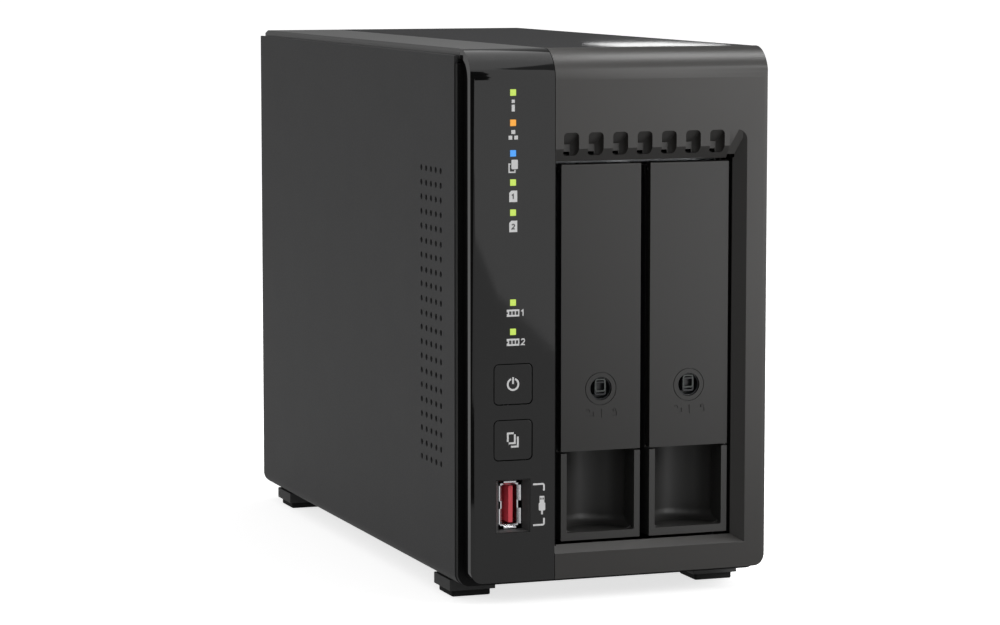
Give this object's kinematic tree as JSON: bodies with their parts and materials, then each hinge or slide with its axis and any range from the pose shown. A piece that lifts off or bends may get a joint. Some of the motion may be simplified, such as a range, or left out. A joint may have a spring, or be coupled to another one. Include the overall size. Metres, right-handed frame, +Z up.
{
  "type": "network attached storage",
  "caption": "Upright desktop network storage box with a glossy status panel, lockable pull-out drive trays, feet, rear fan and sockets",
  "frame": {"origin": "bottom centre of the bounding box, on the surface that the rubber feet stand on", "axes": "+X to the right seen from the front, +Y from the front face to the rear panel, +Z up"},
  "size_m": [0.1014, 0.226, 0.172],
  "materials": {
    "shell_paint": "fine matt powder coat, dark grey",
    "cover_plastic": "satin moulded plastic, dark grey",
    "trim_gloss": "smooth dark grey plastic strip",
    "frame_black": "black plastic carrier frame",
    "bezel_plastic": "warm dark grey plastic, fine satin grain",
    "panel_gloss": "smoked glossy panel",
    "light_green": "green light pipe, lit",
    "light_orange": "orange light pipe, lit",
    "light_blue": "blue light pipe, lit",
    "button_plastic": "dark glossy key cap",
    "switch_steel": "small stamped switch can",
    "board_green": "circuit board, solder mask",
    "port_steel": "nickel-plated port shell",
    "tongue_red": "red contact tongue",
    "bracket_plastic": "grey plastic foot bracket",
    "foot_rubber": "black rubber",
    "cage_steel": "zinc-plated steel sheet",
    "screw_steel": "zinc-plated screw",
    "connector_black": "black connector body",
    "tray_plastic": "warm dark grey plastic, fine satin grain",
    "pull_plastic": "warm dark grey plastic, fine satin grain",
    "pin_steel": "ground steel pin",
    "lock_black": "dark moulded lock",
    "drive_aluminium": "cast and machined drive case",
    "rear_paint": "fine matt powder coat, dark grey",
    "screw_black": "black oxide screw",
    "fan_plastic": "black glass-filled plastic",
    "rotor_plastic": "black moulded rotor",
    "brass_standoff": "turned brass",
    "chip_lid": "metal chip lid",
    "sink_aluminium": "extruded aluminium fins",
    "module_green": "circuit board with chips",
    "inlet_black": "black socket body"
  },
  "bodies": {
    "enclosure": {"outer_shell": "shell_paint", "top_cover": "cover_plastic", "top_trim_strip": "trim_gloss", "bezel_frame": "frame_black", "front_bezel": "bezel_plastic", "led_panel": "panel_gloss", "green_lights": "light_green", "network_light": "light_orange", "copy_light": "light_blue", "button_switches": "switch_steel", "front_board": "board_green", "front_usb_shell": "port_steel", "front_usb_tongue": "tongue_red", "front_usb_board": "board_green", "foot_brackets": "bracket_plastic", "foot_pads": "foot_rubber", "cage_left_wall": "cage_steel", "cage_right_wall": "cage_steel", "cage_floor": "cage_steel", "cage_roof": "cage_steel", "cage_screws": "screw_steel", "backplane_board": "board_green", "drive_connectors": "connector_black", "rear_panel": "rear_paint", "rear_screws": "screw_black", "fan_frame": "fan_plastic", "fan_screws": "screw_black", "mainboard": "board_green", "board_standoffs": "brass_standoff", "processor": "chip_lid", "heatsink": "sink_aluminium", "memory_sockets": "connector_black", "memory_modules": "module_green", "ssd_sockets": "connector_black", "ssd_module_1": "module_green", "ssd_module_2": "module_green", "clock_battery": "port_steel", "network_jacks": "port_steel", "rear_usb_ports": "port_steel", "display_ports": "port_steel", "power_inlet": "inlet_black", "reset_switch": "switch_steel"},
    "tray_1": {"tray_1_carrier": "tray_plastic", "tray_1_hinge_pin": "pin_steel", "drive_1_case": "drive_aluminium", "drive_1_board": "board_green"},
    "tray_1_pull": {"tray_1_handle": "pull_plastic"},
    "tray_1_key_lock": {"tray_1_lock": "lock_black"},
    "tray_2": {"tray_2_carrier": "tray_plastic", "tray_2_hinge_pin": "pin_steel", "drive_2_case": "drive_aluminium", "drive_2_board": "board_green"},
    "tray_2_pull": {"tray_2_handle": "pull_plastic"},
    "tray_2_key_lock": {"tray_2_lock": "lock_black"},
    "power_key": {"power_button": "button_plastic"},
    "copy_key": {"copy_button": "button_plastic"},
    "reset_key": {"reset_button": "inlet_black"},
    "fan_wheel": {"fan_rotor": "rotor_plastic"}
  },
  "joints": [
    {"name": "tray_1_slide", "type": "slide", "parent": "enclosure", "child": "tray_1", "axis": [0, -1, 0], "range_m": [0, 0.15]},
    {"name": "tray_1_pull_hinge", "type": "hinge", "parent": "tray_1", "child": "tray_1_pull", "pos_m": [-0.00505, -0.1069, 0.1342], "axis": [-1, 0, 0], "range_deg": [0, 70]},
    {"name": "tray_1_lock_turn", "type": "hinge", "parent": "tray_1_pull", "child": "tray_1_key_lock", "pos_m": [-0.00505, -0.109, 0.0663], "axis": [0, 1, 0], "range_deg": [0, 90]},
    {"name": "tray_2_slide", "type": "slide", "parent": "enclosure", "child": "tray_2", "axis": [0, -1, 0], "range_m": [0, 0.15]},
    {"name": "tray_2_pull_hinge", "type": "hinge", "parent": "tray_2", "child": "tray_2_pull", "pos_m": [0.02455, -0.1069, 0.1342], "axis": [-1, 0, 0], "range_deg": [0, 70]},
    {"name": "tray_2_lock_turn", "type": "hinge", "parent": "tray_2_pull", "child": "tray_2_key_lock", "pos_m": [0.02455, -0.109, 0.0663], "axis": [0, 1, 0], "range_deg": [0, 90]},
    {"name": "power_press", "type": "slide", "parent": "enclosure", "child": "power_key", "axis": [0, 1, 0], "range_m": [0, 0.0008], "stiffness_N_per_m": 1200, "springref_m": -0.0002},
    {"name": "copy_press", "type": "slide", "parent": "enclosure", "child": "copy_key", "axis": [0, 1, 0], "range_m": [0, 0.0008], "stiffness_N_per_m": 1200, "springref_m": -0.0002},
    {"name": "reset_press", "type": "slide", "parent": "enclosure", "child": "reset_key", "axis": [0, -1, 0], "range_m": [0, 0.0008], "stiffness_N_per_m": 800, "springref_m": -0.0002},
    {"name": "fan_spin", "type": "hinge", "parent": "enclosure", "child": "fan_wheel", "pos_m": [0.00925, 0.0858, 0.096], "axis": [0, 1, 0], "continuous": true}
  ]
}
